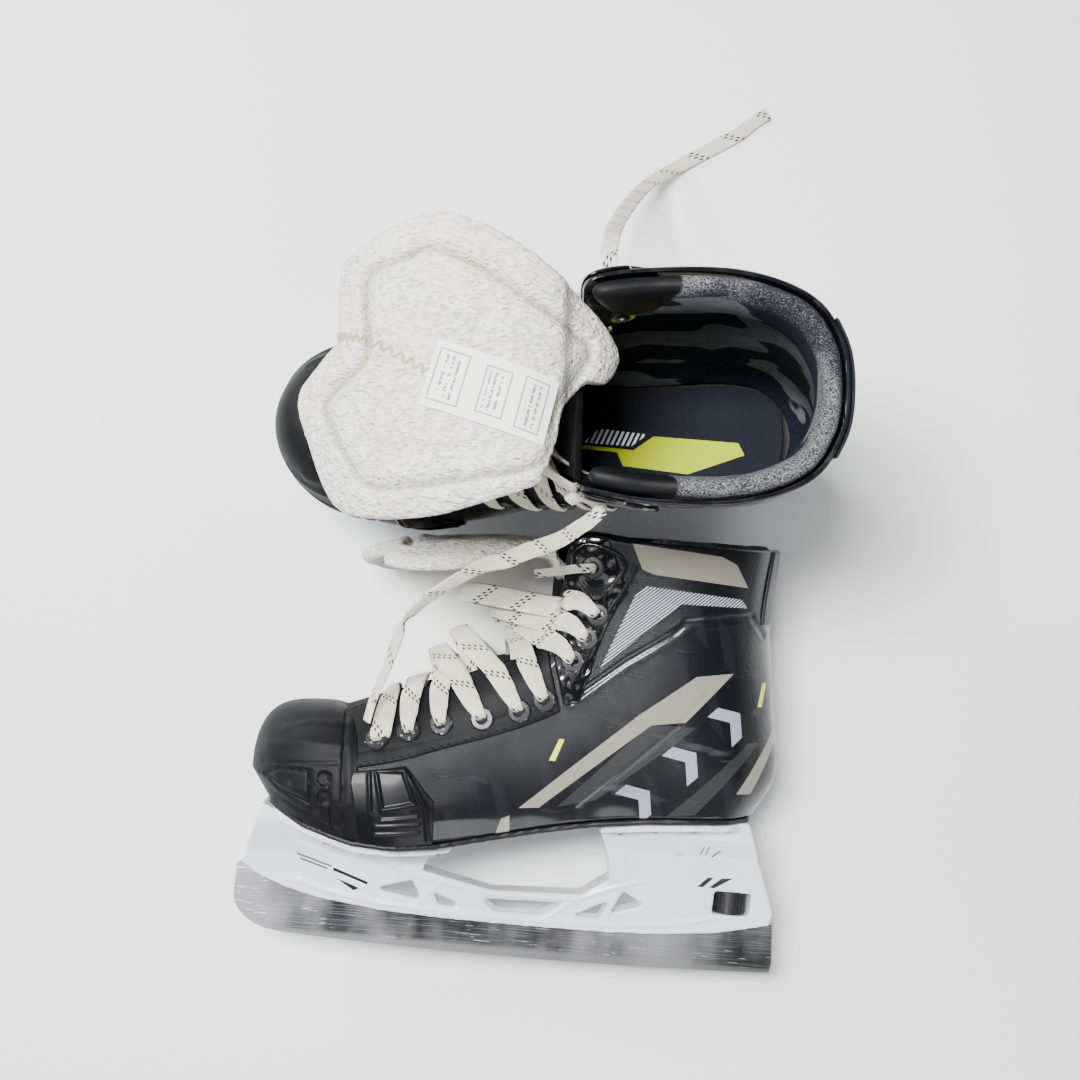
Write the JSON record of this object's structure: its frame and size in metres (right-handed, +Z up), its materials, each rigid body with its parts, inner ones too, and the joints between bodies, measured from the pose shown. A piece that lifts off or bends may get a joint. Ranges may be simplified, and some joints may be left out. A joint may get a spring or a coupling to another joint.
{
  "type": "ice skates",
  "caption": "Pair of ice-hockey skates set down after use: one standing, one on its side, with felt tongues turned forward, loose flat laces and releasable steel runners.",
  "frame": {"origin": "middle of the footprint of the two skates without their free lace ends, on the floor", "axes": "+Z up; -X towards the toes of both skates; +Y from the lying left skate to the standing right skate"},
  "size_m": [0.3028, 0.4748, 0.2225],
  "materials": {
    "holder": "semi-gloss injection-moulded plastic, white with a cool tint",
    "rivets": "dull copper-coated steel",
    "runner_steel": "ground steel with scratches along its length",
    "stud_steel": "plain turned steel",
    "lock_wheel": "ribbed black plastic",
    "outsole": "satin black composite",
    "outsole_wings": "glossy black moulding with raised frames",
    "lasting_board": "dull fibre board",
    "footbed": "black knitted cover with a bright printed panel",
    "quarter": "glossy near-black composite with a fine woven texture and printed panels",
    "toe_cap": "matte black moulding",
    "lower_facings": "matte charcoal synthetic leather, stitched",
    "ankle_facings": "patent black with raised piping",
    "eyelets": "dark painted brass rings",
    "liner": "dark navy brushed knit",
    "collar_pad": "heather grey brushed knit",
    "rear_panel": "black synthetic leather with a grey patch",
    "tongue_base": "dark tongue lining",
    "felt": "thick off-white felt, fleecy",
    "laces": "flat waxed cotton, cream with dark tracers"
  },
  "bodies": {
    "left_skate": {"left_holder": "holder", "left_holder_rivets": "rivets", "left_outsole": "outsole", "left_outsole_wings": "outsole_wings", "left_lasting_board": "lasting_board", "left_footbed": "footbed", "left_quarter_shell": "quarter", "left_toe_cap": "toe_cap", "left_lower_facings": "lower_facings", "left_ankle_facings": "ankle_facings", "left_eyelets": "eyelets", "left_liner": "liner", "left_collar_pad": "collar_pad", "left_rear_panel": "rear_panel", "left_tongue_base": "tongue_base", "left_laces": "laces", "left_lace_end": "laces"},
    "left_tongue_flap": {"left_tongue": "felt"},
    "left_blade": {"left_runner": "runner_steel", "left_lock_stud": "stud_steel"},
    "left_lock": {"left_lock_wheel": "lock_wheel"},
    "right_skate": {"right_holder": "holder", "right_holder_rivets": "rivets", "right_outsole": "outsole", "right_outsole_wings": "outsole_wings", "right_lasting_board": "lasting_board", "right_footbed": "footbed", "right_quarter_shell": "quarter", "right_toe_cap": "toe_cap", "right_lower_facings": "lower_facings", "right_ankle_facings": "ankle_facings", "right_eyelets": "eyelets", "right_liner": "liner", "right_collar_pad": "collar_pad", "right_rear_panel": "rear_panel", "right_tongue_base": "tongue_base", "right_laces": "laces", "right_lace_end_outer": "laces", "right_lace_end_inner": "laces"},
    "right_tongue_flap": {"right_tongue": "felt"},
    "right_blade": {"right_runner": "runner_steel", "right_lock_stud": "stud_steel"},
    "right_lock": {"right_lock_wheel": "lock_wheel"}
  },
  "joints": [
    {"name": "right_skate_lift", "type": "slide", "parent": "left_skate", "child": "right_skate", "axis": [0, 0, 1], "range_m": [0, 0.3]},
    {"name": "left_tongue_turn", "type": "hinge", "parent": "left_skate", "child": "left_tongue_flap", "pos_m": [0.01272, 0.03464, 0.05237], "axis": [-0.0529, 0.0682, -0.9963], "range_deg": [-5, 1.5]},
    {"name": "left_runner_release", "type": "hinge", "parent": "left_skate", "child": "left_blade", "pos_m": [-0.12301, -0.11873, 0.04908], "axis": [-0.0529, 0.0682, -0.9963], "range_deg": [0, 0.75]},
    {"name": "left_lock_turn", "type": "hinge", "parent": "left_skate", "child": "left_lock", "pos_m": [0.1032, -0.14392, 0.03534], "axis": [0.0994, 0.9931, 0.0627], "range_deg": [0, 360]},
    {"name": "right_tongue_turn", "type": "hinge", "parent": "right_skate", "child": "right_tongue_flap", "pos_m": [0.0184, 0.09929, 0.202], "axis": [0.0262, 0.9997, 0], "range_deg": [0, 45]},
    {"name": "right_runner_release", "type": "hinge", "parent": "right_skate", "child": "right_blade", "pos_m": [-0.10156, 0.10243, 0.036], "axis": [0.0262, 0.9997, 0], "range_deg": [0, 0.75]},
    {"name": "right_lock_turn", "type": "hinge", "parent": "right_skate", "child": "right_lock", "pos_m": [0.12636, 0.09646, 0.0326], "axis": [0, 0, 1], "range_deg": [0, 360]}
  ],
  "couplings": [
    {"joint": "left_lock_turn", "follows": "left_runner_release", "ratio": 480},
    {"joint": "right_lock_turn", "follows": "right_runner_release", "ratio": 480}
  ]
}
